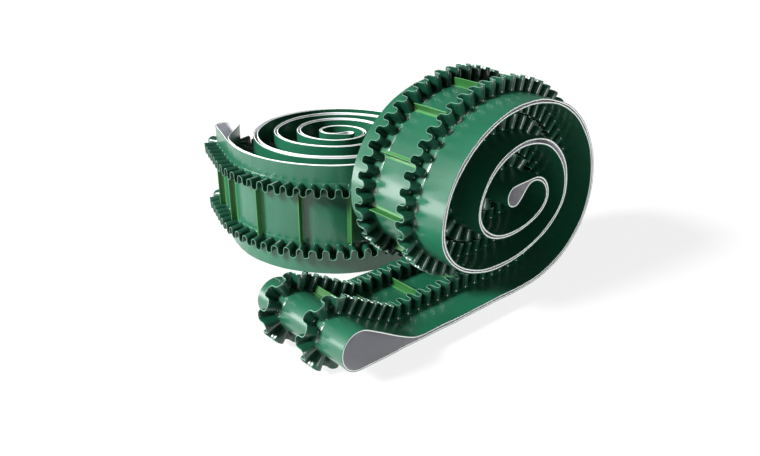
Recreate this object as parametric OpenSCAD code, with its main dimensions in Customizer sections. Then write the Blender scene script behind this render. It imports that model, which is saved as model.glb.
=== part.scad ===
// Two endless cleated conveyor belts with corrugated sidewalls, put away after use.
// One is rolled up and stands on its own flat tail, the other is wound as a coil lying on its edge.
// Each belt is one closed loop pressed flat, so every turn is two layers, fabric to fabric.
// A belt is built in its own plane: the loop in X and Y, the belt's width along Z.

/* [Belt] */
// Width of both belts
belt_width = 400; // [330:5:480]
// Thickness of the green cover on the carrying side
cover_t = 2; // [1:0.5:3]
// Thickness of the woven carcass on the running side
ply_t = 3; // [2:0.5:4]
// Free space between the two layers of a turn where they lie together
layer_gap = 5; // [2:0.5:10]

/* [Sidewalls] */
// Height of the corrugated sidewalls
wall_h = 50; // [40:1:54]
// Length of one wave of a sidewall
wave_pitch = 42; // [36:1:60]
// Width that the waves swing over, between the wall's middle lines
wave_swing = 34; // [20:1:36]
// Thickness of the wall sheet
wall_t = 3; // [2:0.5:4]
// Bare margin outside the sidewall at the roll's front edge
roll_margin = 108; // [90:1:130]
// Bare margin outside the sidewall at the coil's upper edge
coil_margin = 65; // [50:1:95]
// Bare margin outside the sidewall at the other edge of either belt
slim_margin = 78; // [60:1:95]

/* [Cleats] */
// Distance between cleats along the belt
cleat_pitch = 168; // [140:1:220]
// Thickness of a cleat's upright
cleat_t = 4; // [3:0.5:6]
// Height of the cleats where the belt lies free
cleat_h = 24; // [18:1:34]
// Width of a cleat's foot along the belt
cleat_foot = 10; // [8:1:12]

/* [Roll] */
// Height of the roll over the floor
roll_top = 677; // [640:1:800]
// Length of the flat tail from the middle of its nose to where it curls up
tail_length = 695; // [560:5:860]
// Distance from there to the roll's foremost point
roll_reach = 327; // [300:1:400]
// Size of the roll along the tail
roll_span = 720; // [690:5:860]
// Radius of the open nose at the tail's end
nose_r = 61; // [50:1:76]

/* [Coil] */
// Radius of the coil's outermost turn, measured to the back
coil_r = 346; // [340:1:420]
// Flat length of the coil's tail between its open nose and its bend
coil_flat = 21; // [10:1:60]
// Radius of the open nose at the end of the coil's tail
coil_nose_r = 44; // [36:1:53]

/* [Hidden] */

slit = 0.6;                 // clear space under each wall and cleat, along the weld line
cleat_below = 5;            // least distance from a cleat's top down to the wall tips
steps = 12;                 // straight pieces in a quarter of a turn
band = 2 * (cover_t + ply_t) + layer_gap;   // thickness of a double layer
gap0 = layer_gap + 2 * ply_t;               // distance between the bond lines of its layers
turn = band + 2 * (wall_h + slit) + 1;      // room that one turn takes with free walls
wave_w = wave_swing + wall_t;
wall_lo = slim_margin + wave_w / 2;                  // middles of the sidewalls across the belt
roll_wall_hi = belt_width - roll_margin - wave_w / 2;
coil_wall_hi = belt_width - coil_margin - wave_w / 2;
cleat_gap = 2;                                       // from a cleat's end to the sidewall's waves

// ---- the roll's route: one stop at each lowest, rightmost, highest and leftmost point ----
low0 = wall_h + slit + cover_t;   // the tail stands on its wall tips
right0 = tail_length + roll_reach;
left0 = right0 - roll_span;
low1 = low0 + turn;
high1 = roll_top - turn;
right1 = right0 - 1.25 * turn;
left1 = left0 + 1.28 * turn;
low2 = low1 + 0.8 * turn;
right2 = right1 - 0.8 * turn;
high2 = high1 - 1.1 * turn;
roll_stops = [
    [tail_length, low0], [right0, 330], [right0 - roll_span / 2, roll_top], [left0, 360],
    [left0 + 260, low1], [right1, 358], [right1 - 215, high1], [left1, 378],
    [left1 + 150, low2], [right2, 355], [right2 - 78, high2]
];
// how far the two layers have parted at each stop
roll_slack = [0, 0, 0, 0, 0, 3, 7, 0, 0, 0, 0];
roll_gaps = [for (s = roll_slack) gap0 + s];
// an open fold: radius, opening angle, radius of the return bend
roll_nose = [nose_r, 30, 120];
roll_core = [34, 45, 36];
// the flat run from the last stop to the core's fold: length, and angle that it dips by
roll_core_run = [6, 8];
roll_core_walls = [44, 34, 20, 26];
roll_free_walls = [wall_h, wall_h, wall_h, wall_h];

// ---- the coil's route: front, right, back and left of each turn, from its own middle ----
coil_stops = [
    [0, -coil_r - 15], [coil_r, -15], [0, coil_r - 15], [38 - coil_r, 14],
    [0, -292], [290, -11], [0, 270], [-236, 42],
    [0, -168], [186, 12], [0, 194], [-152, 49],
    [0, -94], [110, 0], [8, 95], [-68, 36], [-20, -16]
];
coil_slack = [0, 0, 0, 3, 19, 3, 23, 3, 3, 3, 21, 3, 0, 0, 0, 0, 0];
coil_gaps = [for (s = coil_slack) gap0 + s];
coil_nose = [coil_nose_r, 28, 100];
// straight tail, and the bend from it into the outermost turn: radius and angle
coil_tail = fold_x(coil_nose, gap0) + coil_flat;
coil_lead = [coil_tail, coil_r + 72, 67];
coil_core = [20, 35, 40];
coil_core_run = [5, 0];
coil_core_walls = [18, 16, 14, 14];
// walls of the outermost turn: the last one, and the tail's inner layer, share one space
coil_free_walls = [wall_h, wall_h, 0.9 * wall_h, 0.68 * wall_h];

// ---- where the belts stand: the origin is under the middle of the bounding box ----
between = 23;                       // free space between the roll's rear edge and the coil
coil_along = 590;                   // from the roll's tail nose to the coil's middle, along the roll
coil_turned = -41.4;
tip_loss = 1.8;                     // what the nose's straight wall tips stay short of their circle
coil_bend = coil_lead[2];
nose_middle = coil_stops[0] + coil_lead[1] * [-sin(coil_bend), 1 - cos(coil_bend)]
    + coil_tail * [-cos(coil_bend), sin(coil_bend)] + coil_nose_r * [sin(coil_bend), cos(coil_bend)];
coil_front = coil_r + wall_h + 13;           // from the coil's middle to its wall tips next to the roll
coil_back = turned(nose_middle, coil_turned)[1] + coil_nose_r + cover_t + slit + wall_h - tip_loss;
depth = belt_width + between + coil_front + coil_back;
roll_middle = (tail_length + roll_reach - nose_r) / 2;
roll_at = [-roll_middle, belt_width - depth / 2, 0];
coil_at = [coil_along - roll_middle, depth / 2 - coil_back, 0];

// ---- a loop's route ----
function unit(v) = v / norm(v);
function side(k) = k % 2 == 0 ? 1 : 0;

// quarter of an ellipse from stop a to stop b, which leaves a along X when k is even
function quarter(a, b, k) = [for (i = [1:steps]) let (t = 90 * i / steps)
    k % 2 == 0 ? [a[0] + (b[0] - a[0]) * sin(t), b[1] + (a[1] - b[1]) * cos(t)]
               : [b[0] + (a[0] - b[0]) * cos(t), a[1] + (b[1] - a[1]) * sin(t)]];

// free height at stop k between its turn and the next one inwards
function room(stops, gaps, k) =
    (abs(stops[k + 4][side(k)] - stops[k][side(k)]) - gaps[k] - 2 * cover_t) / 2 - slit - 0.5;
function inner_h(stops, gaps, core, k) = k + 4 < len(stops)
    ? min(wall_h, room(stops, gaps, k)) : core[k + 4 - len(stops)];
function outer_h(stops, gaps, free, k) = k < 4 ? free[k] : min(wall_h, room(stops, gaps, k - 4));

// samples from the first stop on: x, y, layer distance, wall height outside and inside
function stop_data(stops, gaps, free, core, k) =
    [gaps[k], outer_h(stops, gaps, free, k), inner_h(stops, gaps, core, k)];
function chain(stops, gaps, free, core) = concat(
    [concat(stops[0], stop_data(stops, gaps, free, core, 0))],
    [for (k = [0:len(stops) - 2])
        let (q = quarter(stops[k], stops[k + 1], k),
             a = stop_data(stops, gaps, free, core, k), b = stop_data(stops, gaps, free, core, k + 1))
        for (i = [1:steps]) concat(q[i - 1], a + (b - a) * i / steps)]);

// the lead-in before the first stop: a bend, and before it the straight tail
function lead(stop, bend, far_h, n) = let (r = bend[1], a = bend[2], s = [stop[0], stop[1]],
    start = s + r * [-sin(a), 1 - cos(a)])
    concat([concat(start + bend[0] * [-cos(a), sin(a)], [gap0, wall_h, far_h])],
           a == 0 ? [] : [for (i = [0:n - 1]) let (t = a * (1 - i / n))
               concat(s + r * [-sin(t), 1 - cos(t)], [stop[2], stop[3], stop[4]])]);

function heading(p, i) = let (n = len(p), a = p[max(i - 1, 0)], b = p[min(i + 1, n - 1)])
    unit([b[0] - a[0], b[1] - a[1]]);

// one-sided open fold: an arc of radius b[0], a straight flank and a return bend,
// from the far layer at [x, d] back to the near layer at [0, 0]
function fold_flank(b, d) = (b[0] * (1 + cos(b[1])) - d - b[2] * (1 - cos(b[1]))) / sin(b[1]);
function fold_x(b, d) = (b[2] + b[0]) * sin(b[1]) + fold_flank(b, d) * cos(b[1]);
function fold(b, d) = let (x = fold_x(b, d), m = 4, n = 18, a = b[1]) concat(
    [for (i = [0:m]) let (t = a * i / m) [x - b[2] * sin(t), d + b[2] * (1 - cos(t))]],
    [for (i = [0:n - 1]) let (t = 90 - a + (180 + a) * i / n) b[0] * [cos(t), 1 + sin(t)]]);

function turned(v, a) = [v[0] * cos(a) - v[1] * sin(a), v[0] * sin(a) + v[1] * cos(a)];

// wall height on the tail's nose, from the inner layer's height up to the full one
function nose_h(i, far_h) = far_h + (wall_h - far_h) * min(1, max(0, i - 4) / 8);

// whole loop as [x, y, wall height], outer layer first, then core fold, inner layer and nose
function loop(head, stops, gaps, nose, core, core_run, free, walls) =
    let (body = chain(stops, gaps, free, walls),
         p = concat(lead(body[0], head, free[3], 8), body),
         n = len(p),
         last = p[n - 1], h1 = heading(p, n - 1), a1 = atan2(h1[1], h1[0]) + core_run[1],
         h0 = -head[2],
         end = [last[0], last[1]] + (fold_x(core, last[2]) + core_run[0]) * turned([1, 0], a1),
         small = min(walls[3], last[3]))
    concat(
        [for (q = p) [q[0], q[1], q[3]]],
        [for (q = reverse(fold(core, last[2]))) concat(end + turned([-q[0], q[1]], a1), small)],
        [for (i = [n - 1:-1:1]) let (h = heading(p, i), q = p[i])
            [q[0] - h[1] * q[2], q[1] + h[0] * q[2], q[4]]],
        let (f = fold(nose, p[0][2])) [for (i = [0:len(f) - 1])
            concat([p[0][0], p[0][1]] + turned(f[i], h0), nose_h(i, free[3]))]);
function reverse(v) = [for (i = [len(v) - 1:-1:0]) v[i]];

// lengths along the closed loop, and its outward normals
function run(p) = let (n = len(p))
    [for (i = 0, s = 0; i <= n; s = s + norm(xy(p[(i + 1) % n]) - xy(p[i % n])), i = i + 1) s];
function xy(q) = [q[0], q[1]];
function normals(p) = let (n = len(p))
    [for (i = [0:n - 1]) let (t = unit(xy(p[(i + 1) % n]) - xy(p[(i + n - 1) % n]))) [t[1], -t[0]]];

roll = loop([tail_length, 1, 0], roll_stops, roll_gaps, roll_nose, roll_core, roll_core_run,
    roll_free_walls, roll_core_walls);
coil = loop(coil_lead, coil_stops, coil_gaps, coil_nose, coil_core, coil_core_run,
    coil_free_walls, coil_core_walls);

// how far a straight piece of wall has to stand off to clear the belt where it bulges
function bend(p, m, i) = let (n = len(p), a = (i + n - 1) % n, b = (i + 1) % n)
    max(0, cross(m[a], m[b]) / norm(xy(p[b]) - xy(p[a])));
function bulge(p, m, i) = let (n = len(p))
    max([for (k = [-2:2]) bend(p, m, (i + k + n) % n)]) * pow(wave_pitch / 2, 2) / 7;

// tables over the length along a loop: x, y, normal x, normal y, wall height and stand-off
function table(p) = let (s = run(p), m = normals(p), n = len(p)) [
    for (k = [0:5]) [for (i = [0:n]) let (j = i % n)
        [s[i], k < 2 ? p[j][k] + m[j][k] * cover_t : k < 4 ? m[j][k - 2] :
            k == 4 ? p[j][2] : slit + bulge(p, m, j)]]];
roll_table = table(roll);
coil_table = table(coil);
function total(t) = t[0][len(t[0]) - 1][0];
// point at length s, h above the cover
function spot(t, s, h) = [lookup(s, t[0]) + h * lookup(s, t[2]), lookup(s, t[1]) + h * lookup(s, t[3])];

roll_cleats = round(total(roll_table) / cleat_pitch);
coil_cleats = round(total(coil_table) / cleat_pitch);
per_group = 5;
roll_groups = ceil(roll_cleats / per_group);
coil_groups = ceil(coil_cleats / per_group);
function group_name(who, g) = str(who, "_cleats_", g < 9 ? "0" : "", g + 1);

// ---- pieces of a belt, in the belt's own plane ----
function shifted(p, d) = let (m = normals(p)) [for (i = [0:len(p) - 1]) xy(p[i]) + m[i] * d];

module ring(p, inside, outside) {
    linear_extrude(belt_width) difference() {
        polygon(shifted(p, outside));
        polygon(shifted(p, inside));
    }
}

// endless corrugated wall: a closed strip that swings from side to side, four corners a ring
module sidewall(t, middle) {
    n = 2 * round(total(t) / wave_pitch);
    swing = wave_swing / 2;
    half = wall_t * norm([wave_swing, wave_pitch / 2]) / wave_pitch;
    points = [for (i = [0:n - 1]) let (s = total(t) * i / n, z = middle + (i % 2 == 0 ? swing : -swing),
            a = spot(t, s, lookup(s, t[5])), b = spot(t, s, slit + lookup(s, t[4])))
        each [[a[0], a[1], z - half], [a[0], a[1], z + half],
              [b[0], b[1], z + half], [b[0], b[1], z - half]]];
    faces = [for (i = [0:n - 1]) for (k = [0:3])
        let (a = 4 * i + k, b = 4 * i + (k + 1) % 4, c = 4 * ((i + 1) % n) + (k + 1) % 4,
             d = 4 * ((i + 1) % n) + k)
        each [[a, d, c], [a, c, b]]];
    polyhedron(points, faces);
}

// cleat with an upright plate on a foot, standing on the cover between the two walls
module cleat(t, s, wall_hi) {
    at = spot(t, s, slit);
    h = min(cleat_h, lookup(s, t[4]) - cleat_below);
    long = wall_hi - wall_lo - wave_w - 2 * cleat_gap;
    translate([at[0], at[1], wall_lo + wave_w / 2 + cleat_gap])
        rotate([0, 0, atan2(lookup(s, t[3]), lookup(s, t[2]))])
        linear_extrude(long) union() {
            translate([0, -cleat_foot / 2]) square([2, cleat_foot]);
            translate([0, -cleat_t / 2]) square([max(h, 8), cleat_t]);
        }
}

module cleat_group(t, count, g, wall_hi) {
    color("yellowgreen") for (i = [g * per_group:min(count, (g + 1) * per_group) - 1])
        cleat(t, (i + 0.5) * total(t) / count, wall_hi);
}

// ---- places of the two belts ----
module as_roll() translate(roll_at) rotate([90, 0, 0]) children();
module as_coil() translate(coil_at) rotate([0, 0, coil_turned]) children();

module roll_fabric_ply() as_roll() color("gainsboro") ring(roll, -ply_t, 0);
module roll_green_cover() as_roll() color("seagreen") ring(roll, 0, cover_t);
module roll_front_sidewall() as_roll() color("mediumseagreen") sidewall(roll_table, roll_wall_hi);
module roll_rear_sidewall() as_roll() color("mediumseagreen") sidewall(roll_table, wall_lo);
module roll_cleat_group(g) as_roll() cleat_group(roll_table, roll_cleats, g, roll_wall_hi);

module coil_fabric_ply() as_coil() color("gainsboro") ring(coil, -ply_t, 0);
module coil_green_cover() as_coil() color("seagreen") ring(coil, 0, cover_t);
module coil_upper_sidewall() as_coil() color("mediumseagreen") sidewall(coil_table, coil_wall_hi);
module coil_lower_sidewall() as_coil() color("mediumseagreen") sidewall(coil_table, wall_lo);
module coil_cleat_group(g) as_coil() cleat_group(coil_table, coil_cleats, g, coil_wall_hi);

roll_fabric_ply();
roll_green_cover();
roll_front_sidewall();
roll_rear_sidewall();
for (g = [0:roll_groups - 1])
    roll_cleat_group(g);
coil_fabric_ply();
coil_green_cover();
coil_upper_sidewall();
coil_lower_sidewall();
for (g = [0:coil_groups - 1])
    coil_cleat_group(g);
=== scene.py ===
import math

import bpy
import numpy as np
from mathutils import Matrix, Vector


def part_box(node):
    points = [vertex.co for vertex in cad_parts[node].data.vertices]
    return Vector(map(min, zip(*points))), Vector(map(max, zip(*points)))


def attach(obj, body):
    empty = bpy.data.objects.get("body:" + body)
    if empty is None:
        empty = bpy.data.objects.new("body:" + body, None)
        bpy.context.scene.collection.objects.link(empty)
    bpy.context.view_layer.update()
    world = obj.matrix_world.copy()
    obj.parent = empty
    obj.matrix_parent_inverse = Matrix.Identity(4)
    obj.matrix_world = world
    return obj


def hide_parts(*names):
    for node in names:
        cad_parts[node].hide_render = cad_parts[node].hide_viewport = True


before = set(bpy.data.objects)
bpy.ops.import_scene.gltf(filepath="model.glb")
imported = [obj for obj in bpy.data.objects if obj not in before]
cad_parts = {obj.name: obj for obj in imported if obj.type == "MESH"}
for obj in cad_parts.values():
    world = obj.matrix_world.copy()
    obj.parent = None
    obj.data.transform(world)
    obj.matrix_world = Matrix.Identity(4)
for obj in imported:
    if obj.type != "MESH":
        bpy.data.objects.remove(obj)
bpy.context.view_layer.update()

MM = 0.001

# ---- sizes that the CAD model sets, in metres ----
BELT_WIDTH = 400 * MM
COVER_T = 2.0 * MM          # green cover on the carrying side
PLY_T = 3.0 * MM            # woven carcass on the running side
WALL_H = 50 * MM
WAVE_PITCH = 42 * MM
WAVE_SWING = 34 * MM
CLEAT_H = 24 * MM
CLEAT_BELOW = 5 * MM        # least distance from a cleat's top down to the wall tips
# middles of the sidewalls and ends of the cleats across the belt, from its slim margin
WALL_MIDDLES = {"roll": {"hi": 273.5 * MM, "lo": 96.5 * MM},
                "coil": {"hi": 316.5 * MM, "lo": 96.5 * MM}}
CLEAT_SPAN = {"roll": (117 * MM, 253 * MM), "coil": (117 * MM, 296 * MM)}

# ---- sizes of the visual detail ----
STEP = 6 * MM               # spacing of the belt's rings along the loop
WAVE_STEPS = 14             # samples in one wave of a sidewall
FOOT_T = 0.8 * MM           # flange that welds a sidewall to the cover
FOOT_W = 50 * MM
FOOT_SLOPE = 3 * MM         # width of the flange's sloped edge
WALL_HALF_T = 1.35 * MM     # half the thickness of a sidewall
LOBE_SHIFT = 0.083          # how far the waves bulge into round lobes, as a share of the pitch
WALL_MIN = 8 * MM           # least height of a squeezed wall
TIP_SPARE = 1.6 * MM        # how far the wall tips stay below the CAD model's
EDGE_SPARE = 1.7 * MM       # how far the roll's edges stay inside the CAD model's, to let its turns drift
CLEAT_MIN = 7 * MM          # least height of a cleat
THREAD = 1.4 * MM           # spacing of the carcass's threads
# outline of one side of a cleat below its tip: half width and height
CLEAT_FOOT = [(11 * MM, 0.0), (10.5 * MM, 1 * MM), (5 * MM, 1.5 * MM), (2.9 * MM, 2.6 * MM),
              (2.15 * MM, 5 * MM)]
FLOOR_HALF = 30.0           # half the floor's size


# ---------------------------------------------------------------- the belt's route
def closed_loops(node, axis, level):
    """Boundary loops of the node's flat end at that level of an axis, as 2-D points."""
    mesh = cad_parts[node].data
    co = np.array([v.co[:] for v in mesh.vertices])
    key = {}
    ids = [key.setdefault(tuple(np.round(c, 5)), len(key)) for c in co]
    points = np.array(list(key))
    flat = np.abs(points[:, axis] - level) < 1e-4
    count = {}
    for poly in mesh.polygons:
        v = [ids[i] for i in poly.vertices]
        if all(flat[i] for i in v):
            for a, b in zip(v, v[1:] + v[:1]):
                pair = (min(a, b), max(a, b))
                count[pair] = count.get(pair, 0) + 1
    near = {}
    for (a, b), n in count.items():
        if n == 1:
            near.setdefault(a, []).append(b)
            near.setdefault(b, []).append(a)
    keep = [i for i in range(3) if i != axis]
    loops, seen = [], set()
    for start in near:
        if start in seen:
            continue
        loop, at = [start], start
        seen.add(start)
        while True:
            following = [n for n in near[at] if n not in seen]
            if not following:
                break
            at = following[0]
            seen.add(at)
            loop.append(at)
        loops.append(points[loop][:, keep])
    return loops


def area(p):
    q = np.roll(p, -1, 0)
    return 0.5 * float(np.sum(p[:, 0] * q[:, 1] - q[:, 0] * p[:, 1]))


def resampled(p, step):
    """Closed polyline with even spacing, and its length."""
    q = np.vstack([p, p[:1]])
    s = np.concatenate([[0], np.cumsum(np.linalg.norm(np.diff(q, axis=0), axis=1))])
    n = int(round(s[-1] / step))
    t = np.linspace(0, s[-1], n, endpoint=False)
    return np.column_stack([np.interp(t, s, q[:, k]) for k in range(2)]), s[-1]


def blurred(v, sigma):
    """Smooths samples round a closed loop; sigma is in samples."""
    reach = int(4 * sigma) + 1
    w = np.exp(-0.5 * (np.arange(-reach, reach + 1) / sigma) ** 2)
    w /= w.sum()
    out = np.zeros_like(v, dtype=float)
    for k, weight in zip(range(-reach, reach + 1), w):
        out += weight * np.roll(v, k, axis=0)
    return out


class Belt:
    """One endless belt: its bond line, normals and free height, and the way from there to 3-D."""

    def __init__(self, who, axis, level, flip, seed):
        self.who, self.axis, self.level, self.flip = who, axis, level, flip
        loops = closed_loops(who + "_green_cover", axis, level)
        loops.sort(key=lambda p: abs(area(p)))
        bond, skin = loops[0], loops[1]
        fine = blurred(resampled(bond, 2 * MM)[0], 4)
        self.p, self.length = resampled(fine, STEP)
        tangent = np.roll(self.p, -1, 0) - np.roll(self.p, 1, 0)
        tangent /= np.linalg.norm(tangent, axis=1)[:, None]
        self.n = np.column_stack([tangent[:, 1], -tangent[:, 0]])
        probe = 2 * COVER_T * self.n[0]
        plus, minus = (np.linalg.norm(skin - (self.p[0] + q), axis=1).min() for q in (probe, -probe))
        if plus > minus:
            self.n = -self.n
        self.s = np.arange(len(self.p)) * self.length / len(self.p)
        self.waves = max(8, int(round(self.length / WAVE_PITCH)))
        self.h = self.free_height()
        self.phase = np.random.default_rng(seed).uniform(0, 2 * math.pi, 12)

    def free_height(self):
        """Height that a wall has at each sample before it meets the next turn or the floor."""
        a = self.p
        b = np.roll(a, -1, 0)
        d = b - a
        best = np.full(len(a), 1.0)
        for i in range(len(a)):
            o, m = a[i] + self.n[i] * 4 * MM, self.n[i]
            det = d[:, 0] * m[1] - d[:, 1] * m[0]
            det = np.where(np.abs(det) < 1e-12, 1e-12, det)
            r = a - o
            t = (d[:, 0] * r[:, 1] - d[:, 1] * r[:, 0]) / det
            u = (m[0] * r[:, 1] - m[1] * r[:, 0]) / det
            hit = (u >= 0) & (u <= 1) & (t > 1 * MM)
            if hit.any():
                best[i] = t[hit].min() + 4 * MM
        room = (best - 2 * COVER_T) / 2 - 1 * MM
        turn = self.n - np.roll(self.n, 1, 0)
        along = self.p - np.roll(self.p, 1, 0)
        curve = np.sum(turn * along, axis=1) / np.sum(along * along, axis=1)
        curve = blurred(curve, 3)
        inward = np.where(curve < -1, 0.55 / np.maximum(-curve, 1), 1.0)
        h = np.minimum(np.minimum(room, inward), WALL_H)
        low = h.copy()
        for k in range(-5, 6):
            low = np.minimum(low, np.roll(h, k))
        return np.clip(blurred(low, 4), WALL_MIN, WALL_H - TIP_SPARE)

    def along(self, s, table):
        grid = np.append(self.s, self.length)
        values = np.concatenate([table, table[:1]])
        s = np.mod(s, self.length)
        if values.ndim == 1:
            return np.interp(s, grid, values)
        return np.column_stack([np.interp(s, grid, values[:, k]) for k in range(values.shape[1])])

    def ripple(self, s, z):
        """Small unevenness of a belt that has lain rolled, along the normal."""
        f, k = self.phase, 2 * math.pi / self.length
        edge = np.abs(z / BELT_WIDTH - 0.5) * 2
        body = 0.35 * np.sin(19 * k * s + f[0]) + 0.25 * np.sin(43 * k * s + f[1] + 5 * z)
        hem = 0.7 * np.sin(31 * k * s + f[2] + 3 * z) + 0.5 * np.sin(67 * k * s + f[3])
        return MM * (body + hem * edge ** 3)

    def drift(self, s):
        """Sideways offset of the roll's turns against each other."""
        f, k = self.phase, 2 * math.pi / self.length
        return MM * (1.0 * np.sin(3 * k * s + f[4]) + 0.6 * np.sin(8 * k * s + f[5]))

    def place(self, s, z, off):
        """3-D points at length s, z across the belt and off above the bond line."""
        s, z, off = np.broadcast_arrays(np.asarray(s, float), z, off)
        flat = s.ravel()
        p, n = self.along(flat, self.p), self.along(flat, self.n)
        n /= np.linalg.norm(n, axis=1)[:, None]
        q = p + n * (off.ravel() + self.ripple(flat, z.ravel()))[:, None]
        w = z.ravel()
        if self.axis != 2:
            w = EDGE_SPARE + w * (1 - 2 * EDGE_SPARE / BELT_WIDTH) + self.drift(flat)
        out = np.empty((len(flat), 3))
        keep = [i for i in range(3) if i != self.axis]
        out[:, keep[0]], out[:, keep[1]] = q[:, 0], q[:, 1]
        out[:, self.axis] = self.level + (-w if self.flip else w)
        out[:, 2] = np.maximum(out[:, 2], 0)
        return out.reshape(s.shape + (3,))


# ---------------------------------------------------------------- meshes
def swept(name, grid, uv, smooth_angle=40):
    """Closed tube mesh from a grid of rings, periodic both ways. uv has one more row and column."""
    rows, cols = grid.shape[:2]
    verts = grid.reshape(-1, 3)
    i, j = np.meshgrid(np.arange(rows), np.arange(cols), indexing="ij")
    a = i * cols + j
    b = ((i + 1) % rows) * cols + j
    c = ((i + 1) % rows) * cols + (j + 1) % cols
    d = i * cols + (j + 1) % cols
    faces = np.stack([a, b, c, d], -1).reshape(-1, 4)
    corners = np.stack([uv[:-1, :-1], uv[1:, :-1], uv[1:, 1:], uv[:-1, 1:]], 2).reshape(-1, 2)
    return build(name, verts, faces, corners, smooth_angle)


def build(name, verts, faces, corners, smooth_angle):
    mesh = bpy.data.meshes.new(name)
    mesh.from_pydata(verts.tolist(), [], faces.tolist())
    layer = mesh.uv_layers.new(name="UVMap")
    layer.data.foreach_set("uv", corners.astype(np.float32).ravel())
    mesh.update()
    obj = bpy.data.objects.new(name, mesh)
    bpy.context.scene.collection.objects.link(obj)
    if signed_volume(verts, faces) < 0:
        mesh.flip_normals()
    mesh.polygons.foreach_set("use_smooth", [True] * len(mesh.polygons))
    mesh.set_sharp_from_angle(angle=math.radians(smooth_angle))
    return obj


def signed_volume(verts, faces):
    a, b, c, d = (verts[faces[:, k]] for k in range(4))
    return float(np.einsum("ij,ij->", a, np.cross(b, c)) + np.einsum("ij,ij->", a, np.cross(c, d))) / 6


def band(belt, name, low, high):
    """A layer of the belt between two heights over the bond line, with eased edges."""
    ease = 0.35 * (high - low)
    inner = np.linspace(ease, BELT_WIDTH - ease, 11)
    z = np.concatenate([[0, 0], inner, [BELT_WIDTH, BELT_WIDTH], inner[::-1]])
    off = np.concatenate([[low + ease, high - ease], np.full(11, high),
                          [high - ease, low + ease], np.full(11, low)])
    grid = belt.place(belt.s[:, None], z[None, :], off[None, :])
    s = np.append(belt.s, belt.length)
    girth = np.concatenate([[0], np.cumsum(np.hypot(np.diff(np.append(z, z[0])),
                                                    np.diff(np.append(off, off[0]))))])
    uv = np.stack(np.meshgrid(s, girth, indexing="ij"), -1)
    return swept(name, grid, uv)


def foot_strip(belt, name, middle):
    """Flange that welds a sidewall to the cover, with sloped edges."""
    half = FOOT_W / 2
    z = middle + np.array([-half, FOOT_SLOPE - half, -half / 2, 0, half / 2, half - FOOT_SLOPE, half, 0])
    off = COVER_T + np.array([0, FOOT_T, FOOT_T, FOOT_T, FOOT_T, FOOT_T, 0, -0.2 * MM])
    grid = belt.place(belt.s[:, None], z[None, :], off[None, :])
    uv = np.stack(np.meshgrid(np.append(belt.s, belt.length), np.arange(9) * 6 * MM, indexing="ij"), -1)
    return swept(name, grid, uv)


def sidewall(belt, name, middle, lean_to):
    """Endless corrugated wall with round lobes, a weld fillet below and an eased rim above."""
    count = belt.waves * WAVE_STEPS
    u = np.arange(count) / WAVE_STEPS
    turn = 2 * math.pi * u
    pitch = belt.length / belt.waves
    swing = WAVE_SWING / 2 * (1 + 0.05 * np.sin(0.37 * turn + belt.phase[6]))
    s = u * pitch - LOBE_SHIFT * pitch * np.sin(2 * turn)
    lat = swing * np.sin(turn)
    ds = pitch - 4 * math.pi * LOBE_SHIFT * pitch * np.cos(2 * turn)
    dl = swing * 2 * math.pi * np.cos(turn)
    size = np.hypot(ds, dl)
    ns, nl = -dl / size, ds / size
    # side, share of the half thickness, share of the height
    profile = [(-1, 2.2, 0), (-1, 1.25, 0.05), (-1, 1.0, 0.14), (-1, 0.95, 0.4), (-1, 0.88, 0.7),
               (-1, 0.8, 0.97), (-1, 0.4, 1.0), (1, 0.4, 1.0), (1, 0.8, 0.97), (1, 0.88, 0.7),
               (1, 0.95, 0.4), (1, 1.0, 0.14), (1, 1.25, 0.05), (1, 2.2, 0)]
    h = belt.along(s, belt.h)
    squeeze = np.sqrt(np.maximum(WALL_H ** 2 - h ** 2, 0)) / WALL_H
    flutter = 0.5 * MM * np.sin(0.61 * turn + belt.phase[7])
    grid = np.empty((count, len(profile), 3))
    uv = np.zeros((count + 1, len(profile) + 1, 2))
    arc = np.concatenate([[0], np.cumsum(np.hypot(np.diff(s), np.diff(lat)))])
    arc = np.append(arc, arc[-1] + arc[1])
    for k, (sign, thick, level) in enumerate(profile):
        side = sign * thick * WALL_HALF_T
        lean = lean_to * 12 * MM * squeeze * level ** 2 + flutter * level ** 2
        bulge = 1 + 0.18 * squeeze * math.sin(math.pi * level)
        up = COVER_T + FOOT_T + level * (h - FOOT_T)
        grid[:, k] = belt.place(s + ns * side, middle + lat * bulge + nl * side + lean, up)
        uv[:, k] = np.column_stack([arc, np.full(count + 1, WALL_H * (level if sign < 0 else 2 - level))])
    uv[:, -1] = uv[:, 0]
    return swept(name, grid, uv, 50)


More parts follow.
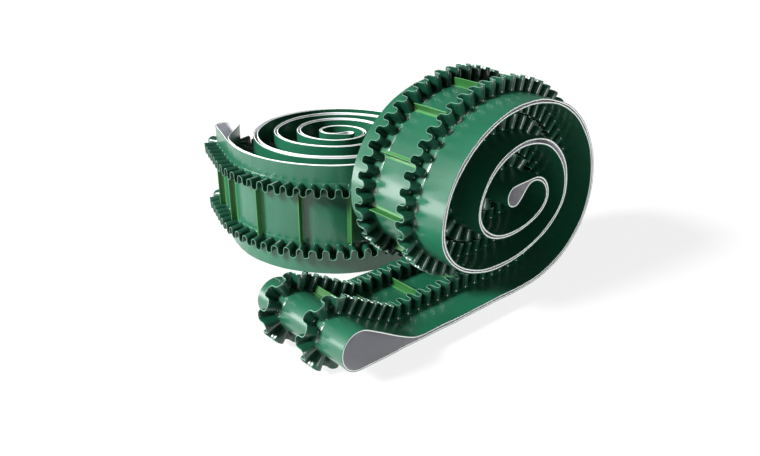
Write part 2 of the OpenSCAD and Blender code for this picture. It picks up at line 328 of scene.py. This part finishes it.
def cleat_mesh(belt, name, places):
    """Cleats with a tapered upright on a flanged foot, at these lengths along the loop.

    Faces on the flange and round the tip take the second material, a lighter green that stands as a
    painted highlight.
    """
    all_v, all_f, all_uv, base = [], [], [], 0
    highlit_faces = []
    z0, z1 = CLEAT_SPAN[belt.who]
    ease = 1.2 * MM
    across = np.array([z0, z0 + ease, z0 + 8 * MM, (z0 + z1) / 2, z1 - 8 * MM, z1 - ease, z1])
    slim = np.array([0.75, 1, 1, 1, 1, 1, 0.75])
    for s0 in places:
        h = min(CLEAT_H, float(belt.along(np.array([s0]), belt.h)[0]) - CLEAT_BELOW)
        h = max(h, CLEAT_MIN)
        bow = 0.8 * MM * math.sin(s0 * 37)
        outline = CLEAT_FOOT + [(1.9 * MM, 0.6 * h), (1.6 * MM, h - 1 * MM), (0.8 * MM, h)]
        outline += [(-x, y) for x, y in outline[::-1]]
        outline = np.array(outline)
        m = len(outline)
        grid = np.empty((len(across), m, 3))
        for i, (z, f) in enumerate(zip(across, slim)):
            sway = bow * math.sin(math.pi * (z - z0) / (z1 - z0)) * (outline[:, 1] / h) ** 2
            up = COVER_T + outline[:, 1] * (0.97 + 0.03 * f)
            grid[i] = belt.place(s0 + outline[:, 0] * f + sway, z, up)
        v = grid.reshape(-1, 3)
        faces = []
        for i in range(len(across) - 1):
            for j in range(m):
                k = (j + 1) % m
                faces.append([i * m + j, (i + 1) * m + j, (i + 1) * m + k, i * m + k])
                # painted highlight: faces at the flange's ends and round the tip get the lighter green
                highlit_faces.append(min(j, m - 2 - j) < 2 or abs(j - m // 2 + 1) < 2)
        for row, order in ((0, 1), (len(across) - 1, -1)):
            for j in range(m // 2 - 1):
                quad = [row * m + j, row * m + j + 1, row * m + m - 2 - j, row * m + m - 1 - j]
                faces.append(quad[::order])
                highlit_faces.append(False)
        faces = np.array(faces)
        girth = np.concatenate([[0], np.cumsum(np.linalg.norm(np.diff(outline, axis=0), axis=1)), [0.1]])
        uv_at = {(i, j): (across[i], girth[j]) for i in range(len(across)) for j in range(m)}
        corners = np.array([[uv_at[(q // m, q % m)] for q in f] for f in faces]).reshape(-1, 2)
        if signed_volume(v, faces) < 0:
            faces = faces[:, ::-1]
            corners = corners.reshape(-1, 4, 2)[:, ::-1].reshape(-1, 2)
        all_v.append(v)
        all_f.append(faces + base)
        all_uv.append(corners)
        base += len(v)
    obj = build(name, np.vstack(all_v), np.vstack(all_f), np.vstack(all_uv), 35)
    obj.data.polygons.foreach_set("material_index", np.array(highlit_faces, dtype=np.int32))
    return obj


# ---------------------------------------------------------------- materials
def material(name):
    mat = bpy.data.materials.new(name)
    mat.use_nodes = True
    tree = mat.node_tree
    return mat, tree, tree.nodes["Principled BSDF"]


def node(tree, kind, inputs=None, **props):
    n = tree.nodes.new(kind)
    for key, value in props.items():
        setattr(n, key, value)
    for key, value in (inputs or {}).items():
        socket = n.inputs[key]
        if isinstance(value, bpy.types.NodeSocket):
            tree.links.new(value, socket)
        else:
            socket.default_value = value
    return n


def ramp(tree, source, stops):
    n = node(tree, "ShaderNodeValToRGB", {"Fac": source})
    e = n.color_ramp.elements
    while len(e) < len(stops):
        e.new(0.5)
    for item, (at, colour) in zip(e, stops):
        item.position = at
        item.color = (*colour, 1)
    return n.outputs["Color"]


def math_node(tree, op, a, b=0.0):
    return node(tree, "ShaderNodeMath", {0: a, 1: b}, operation=op).outputs[0]


def pvc(name, dark, light, rough, rim=None, coat=0.0):
    """Smooth calendered PVC: slight colour drift, faint painted highlight streaks across the belt, satin
    gloss.
    """
    mat, tree, bsdf = material(name)
    coord = node(tree, "ShaderNodeTexCoord")
    uv, place = coord.outputs["UV"], coord.outputs["Object"]
    drift = node(tree, "ShaderNodeTexNoise", {"Vector": place, "Scale": 5.0, "Detail": 4.0})
    colour = ramp(tree, drift.outputs["Fac"], [(0.3, dark), (0.7, light)])
    stretch = node(tree, "ShaderNodeMapping", {"Vector": uv, "Scale": (90.0, 5.0, 1.0)})
    # painted highlight: short pale streaks across the belt, lighter colour where the stretched noise is
    # high
    streak_noise = node(tree, "ShaderNodeTexNoise", {"Vector": stretch.outputs[0], "Scale": 1.0, "Detail": 5.0,
                                            "Roughness": 0.6})
    painted_highlight_streaks = ramp(tree, streak_noise.outputs["Fac"], [(0.62, (0, 0, 0)), (0.8, (1, 1, 1))])
    highlight_tone = tuple(min(1, 0.3 + 0.7 * c) for c in light)
    highlight_mix = node(tree, "ShaderNodeMix", {"Factor": math_node(tree, "MULTIPLY", painted_highlight_streaks, 0.22),
                                         "A": colour, "B": (*highlight_tone, 1)}, data_type="RGBA")
    colour = highlight_mix.outputs["Result"]
    # rim: painted highlight, a lighter colour in a thin line along the tops of the walls
    if rim:
        level = node(tree, "ShaderNodeSeparateXYZ", {0: uv}).outputs["Y"]
        below = math_node(tree, "ABSOLUTE", math_node(tree, "SUBTRACT", level, WALL_H))
        top = ramp(tree, math_node(tree, "MULTIPLY", below, 1 / WALL_H),
                   [(0.015, (1, 1, 1)), (0.035, (0, 0, 0))])
        colour = node(tree, "ShaderNodeMix", {"Factor": top, "A": colour, "B": (*rim, 1)},
                      data_type="RGBA").outputs["Result"]
    tree.links.new(colour, bsdf.inputs["Base Color"])
    grain = node(tree, "ShaderNodeTexNoise", {"Vector": place, "Scale": 900.0, "Detail": 2.0})
    wave = node(tree, "ShaderNodeTexNoise", {"Vector": stretch.outputs[0], "Scale": 0.35, "Detail": 2.0})
    rough_map = node(tree, "ShaderNodeMapRange", {"Value": drift.outputs["Fac"], "To Min": rough - 0.06,
                                                  "To Max": rough + 0.1})
    tree.links.new(rough_map.outputs[0], bsdf.inputs["Roughness"])
    fine = node(tree, "ShaderNodeBump", {"Height": grain.outputs["Fac"], "Strength": 0.12,
                                         "Distance": 0.0003})
    broad = node(tree, "ShaderNodeBump", {"Height": wave.outputs["Fac"], "Strength": 0.35,
                                          "Distance": 0.0012, "Normal": fine.outputs[0]})
    tree.links.new(broad.outputs[0], bsdf.inputs["Normal"])
    bsdf.inputs["Specular IOR Level"].default_value = 0.6
    bsdf.inputs["Coat Weight"].default_value = coat
    bsdf.inputs["Coat Roughness"].default_value = 0.16
    return mat


def woven(name):
    """Polyester carcass: plain weave in warp and weft with a thin grey-white coat."""
    mat, tree, bsdf = material(name)
    coord = node(tree, "ShaderNodeTexCoord")
    uv, place = coord.outputs["UV"], coord.outputs["Object"]
    split = node(tree, "ShaderNodeSeparateXYZ", {0: uv})
    thread = 2 * math.pi / THREAD
    warp = math_node(tree, "SINE", math_node(tree, "MULTIPLY", split.outputs["X"], thread))
    weft = math_node(tree, "SINE", math_node(tree, "MULTIPLY", split.outputs["Y"], thread))
    cross = math_node(tree, "MULTIPLY", warp, weft)
    over = math_node(tree, "ADD", math_node(tree, "MULTIPLY", cross, 0.5), 0.5)
    dirt = node(tree, "ShaderNodeTexNoise", {"Vector": place, "Scale": 7.0, "Detail": 5.0})
    base = ramp(tree, dirt.outputs["Fac"], [(0.3, (0.58, 0.59, 0.62)), (0.7, (0.72, 0.73, 0.76))])
    deep = node(tree, "ShaderNodeMix", {"Factor": math_node(tree, "MULTIPLY", over, 0.35), "A": base,
                                        "B": (0.42, 0.43, 0.46, 1)}, data_type="RGBA")
    tree.links.new(deep.outputs["Result"], bsdf.inputs["Base Color"])
    bump = node(tree, "ShaderNodeBump", {"Height": over, "Strength": 0.5, "Distance": 0.0004})
    tree.links.new(bump.outputs[0], bsdf.inputs["Normal"])
    bsdf.inputs["Roughness"].default_value = 0.8
    bsdf.inputs["Sheen Weight"].default_value = 0.15
    return mat


def cut_edge(name):
    """Cut edge of the carcass: white fibre ends."""
    mat, tree, bsdf = material(name)
    place = node(tree, "ShaderNodeTexCoord").outputs["Object"]
    fuzz = node(tree, "ShaderNodeTexNoise", {"Vector": place, "Scale": 700.0, "Detail": 4.0})
    tone = ramp(tree, fuzz.outputs["Fac"],
                [(0.3, (0.72, 0.74, 0.72)), (0.65, (0.93, 0.94, 0.93))])
    tree.links.new(tone, bsdf.inputs["Base Color"])
    bump = node(tree, "ShaderNodeBump", {"Height": fuzz.outputs["Fac"], "Strength": 0.6,
                                         "Distance": 0.0005})
    tree.links.new(bump.outputs[0], bsdf.inputs["Normal"])
    bsdf.inputs["Roughness"].default_value = 0.85
    return mat


COVER = pvc("cover_pvc", (0.006, 0.072, 0.036), (0.010, 0.096, 0.050), 0.30, coat=0.4)
# walls: a darker copy of the cover's green PVC, as painted shade; the rim colour along their tops is a
# painted highlight
SHADED_WALL_PVC = pvc("wall_pvc_painted_shade", (0.003, 0.036, 0.020), (0.006, 0.054, 0.030), 0.28, rim=(0.10, 0.22, 0.155))
CLEAT = pvc("cleat_green", (0.012, 0.080, 0.014), (0.020, 0.110, 0.022), 0.34)
# lighter green on the cleats' tips and flanges: painted highlight
CLEAT_HIGHLIGHT = pvc("cleat_painted_highlight", (0.026, 0.140, 0.034), (0.040, 0.180, 0.046), 0.38)
FABRIC = woven("woven_carcass")
EDGE = cut_edge("cut_fibres")


# ---------------------------------------------------------------- the two belts
def finish_piece(obj, mats, replaces=()):
    for m in mats:
        obj.data.materials.append(m)
    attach(obj, "root")
    if replaces:
        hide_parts(*replaces)
    return obj


def edge_faces(obj, axis):
    """Gives the faces that look along the width axis the second material."""
    mesh = obj.data
    normals = np.empty(len(mesh.polygons) * 3)
    mesh.polygons.foreach_get("normal", normals)
    side = np.abs(normals.reshape(-1, 3)[:, axis]) > 0.4
    mesh.polygons.foreach_set("material_index", side.astype(np.int32))


def make_belt(belt, walls):
    who = belt.who
    ply = band(belt, who + "_fabric", -PLY_T, 0)
    finish_piece(ply, [FABRIC, EDGE], [who + "_fabric_ply"])
    edge_faces(ply, belt.axis)
    cover = band(belt, who + "_cover", 0, COVER_T)
    finish_piece(cover, [COVER], [who + "_green_cover"])
    for key, node_name in walls.items():
        lean = 1 if key == "hi" else -1
        wall = sidewall(belt, node_name.replace("sidewall", "wall"), WALL_MIDDLES[who][key], lean)
        finish_piece(wall, [SHADED_WALL_PVC], [node_name])
        foot = foot_strip(belt, node_name.replace("sidewall", "wall_foot"), WALL_MIDDLES[who][key])
        finish_piece(foot, [COVER])
    groups = sorted(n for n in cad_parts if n.startswith(who + "_cleats_"))
    for name in groups:
        places = cleat_places(belt, name)
        cleats = cleat_mesh(belt, name.replace("_cleats_", "_cleat_set_"), places)
        finish_piece(cleats, [CLEAT, CLEAT_HIGHLIGHT], [name])


def cleat_places(belt, name):
    """Lengths along the loop at which a CAD node has its cleats."""
    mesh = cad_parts[name].data
    co = np.array([v.co[:] for v in mesh.vertices])
    keep = [i for i in range(3) if i != belt.axis]
    flat = np.unique(np.round(co[:, keep], 4), axis=0)
    far = np.linalg.norm(flat[:, None] - belt.p[None], axis=2)
    close = flat[far.min(1) < COVER_T + 1.2 * MM]
    s = np.sort(belt.s[np.linalg.norm(close[:, None] - belt.p[None], axis=2).argmin(1)])
    if s[-1] - s[0] > belt.length / 2:
        s = np.sort(np.where(s < belt.length / 2, s + belt.length, s))
    cuts = np.where(np.diff(s) > 60 * MM)[0] + 1
    return [float(g.mean()) for g in np.split(s, cuts)]


# the roll's width runs forwards from its rear edge, the coil's upwards from the floor
roll = Belt("roll", 1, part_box("roll_green_cover")[1][1], True, 11)
coil = Belt("coil", 2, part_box("coil_green_cover")[0][2], False, 23)
make_belt(roll, {"hi": "roll_front_sidewall", "lo": "roll_rear_sidewall"})
make_belt(coil, {"hi": "coil_upper_sidewall", "lo": "coil_lower_sidewall"})

# ---------------------------------------------------------------- floor, light and camera
floor_mesh = bpy.data.meshes.new("floor")
floor_corners = [(x * FLOOR_HALF, y * FLOOR_HALF, 0) for x, y in ((-1, -1), (1, -1), (1, 1), (-1, 1))]
floor_mesh.from_pydata(floor_corners, [], [(0, 1, 2, 3)])
floor = bpy.data.objects.new("floor", floor_mesh)
bpy.context.scene.collection.objects.link(floor)
floor_mat, _, floor_bsdf = material("pale_floor")
floor_bsdf.inputs["Base Color"].default_value = (0.14, 0.14, 0.14, 1)
floor_bsdf.inputs["Roughness"].default_value = 0.9
floor_bsdf.inputs["Specular IOR Level"].default_value = 0.0
floor_bsdf.inputs["Emission Color"].default_value = (1, 1, 1, 1)
floor_bsdf.inputs["Emission Strength"].default_value = 0.83
floor_mesh.materials.append(floor_mat)


def lamp(name, kind, energy, toward, at=(0, 0, 0), **props):
    """Light that shines along the direction toward."""
    data = bpy.data.lights.new(name, kind)
    data.energy = energy
    for key, value in props.items():
        setattr(data, key, value)
    light = bpy.data.objects.new(name, data)
    light.location = at
    light.rotation_euler = Vector(toward).to_track_quat("-Z", "Y").to_euler()
    bpy.context.scene.collection.objects.link(light)


lamp("key", "SUN", 9.0, (0.85, -0.25, -0.60), angle=math.radians(14))
lamp("front", "AREA", 170, (-0.1, 5.6, -0.6), at=(0.1, -6.0, 1.0), shape="DISK", size=2.0)
lamp("side", "AREA", 22, (1.7, -1.75, -0.05), at=(-1.95, 1.35, 0.45), shape="RECTANGLE", size=1.3,
     size_y=0.7)
world = bpy.data.worlds.new("studio")
world.use_nodes = True
world.node_tree.nodes["Background"].inputs["Color"].default_value = (1, 1, 1, 1)
world.node_tree.nodes["Background"].inputs["Strength"].default_value = 0.12
bpy.context.scene.world = world
bpy.context.scene.view_settings.view_transform = "Standard"

camera_data = bpy.data.cameras.new("camera")
camera_data.lens = 36.33
camera_data.sensor_width = 36.0
camera = bpy.data.objects.new("camera", camera_data)
camera.location = (-1.5805, -1.9672, 1.2636)
DOWN = math.radians(24.6)
ahead = Vector((0.6614 * math.cos(DOWN), 0.7500 * math.cos(DOWN), -math.sin(DOWN)))
camera.rotation_euler = ahead.to_track_quat("-Z", "Y").to_euler()
bpy.context.scene.collection.objects.link(camera)
bpy.context.scene.camera = camera
